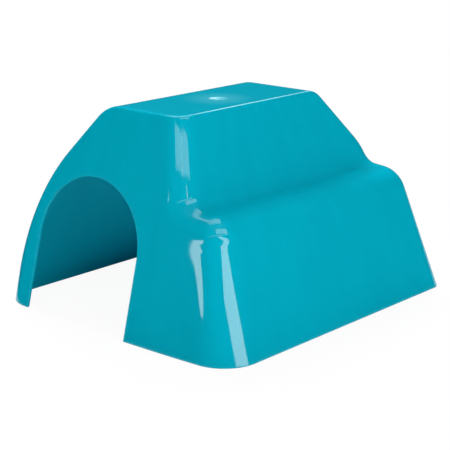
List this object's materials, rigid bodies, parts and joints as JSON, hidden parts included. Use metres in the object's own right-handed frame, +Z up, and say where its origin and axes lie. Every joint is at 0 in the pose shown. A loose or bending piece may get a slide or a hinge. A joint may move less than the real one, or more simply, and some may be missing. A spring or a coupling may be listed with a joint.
{
  "type": "rabbit house",
  "caption": "Moulded plastic rabbit house: an open-bottomed shell with an arched doorway in its leaning front, a flat roof, a step along one side and a rounded hip along the other.",
  "frame": {"origin": "middle of the footprint, on the floor that the rim rests on", "axes": "+Z up; the doorway faces -Y and the back is towards +Y; +X is towards the step side, -X towards the hip side"},
  "size_m": [0.332, 0.3648, 0.22],
  "materials": {
    "shell_plastic": "glossy moulded polypropylene, through-coloured turquoise"
  },
  "bodies": {
    "root": {"house_shell": "shell_plastic"}
  },
  "joints": []
}
